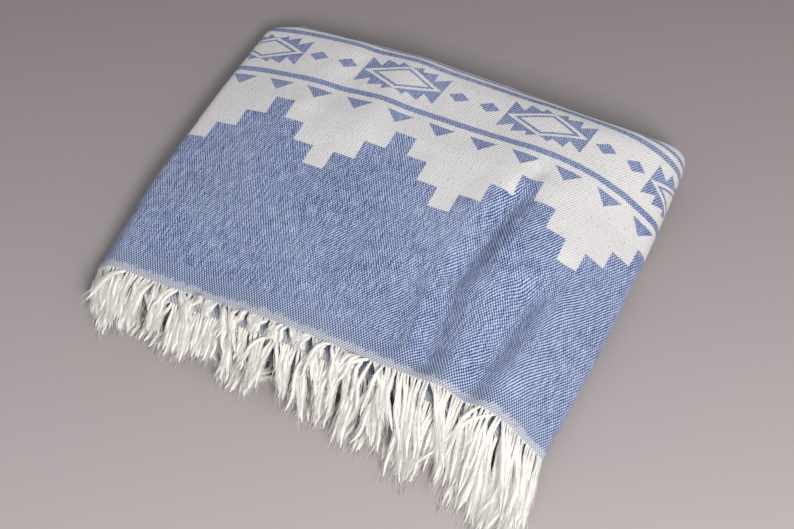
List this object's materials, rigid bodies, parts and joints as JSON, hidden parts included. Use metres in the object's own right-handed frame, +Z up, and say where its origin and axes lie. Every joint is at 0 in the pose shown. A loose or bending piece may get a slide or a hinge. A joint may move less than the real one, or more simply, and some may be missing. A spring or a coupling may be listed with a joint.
{
  "type": "folded throw blanket",
  "caption": "Woven cotton throw with a stepped geometric border and fringed hems, folded into a soft stack that lies flat.",
  "frame": {"origin": "on the flat underside of the folded throw, under the middle of its length and width", "axes": "+Z up, +X along the fringed hems towards the rolled fold, +Y from the fringed hems towards the folded back edge"},
  "size_m": [0.5158, 0.5001, 0.0856],
  "materials": {
    "blue_cotton": "soft matt twill weave in blue and ivory cotton",
    "cream_yarn": "matt loose cotton yarn, slightly fluffy"
  },
  "bodies": {
    "root": {"blanket": "blue_cotton", "fringe_upper": "cream_yarn", "fringe_under": "cream_yarn"}
  },
  "joints": []
}
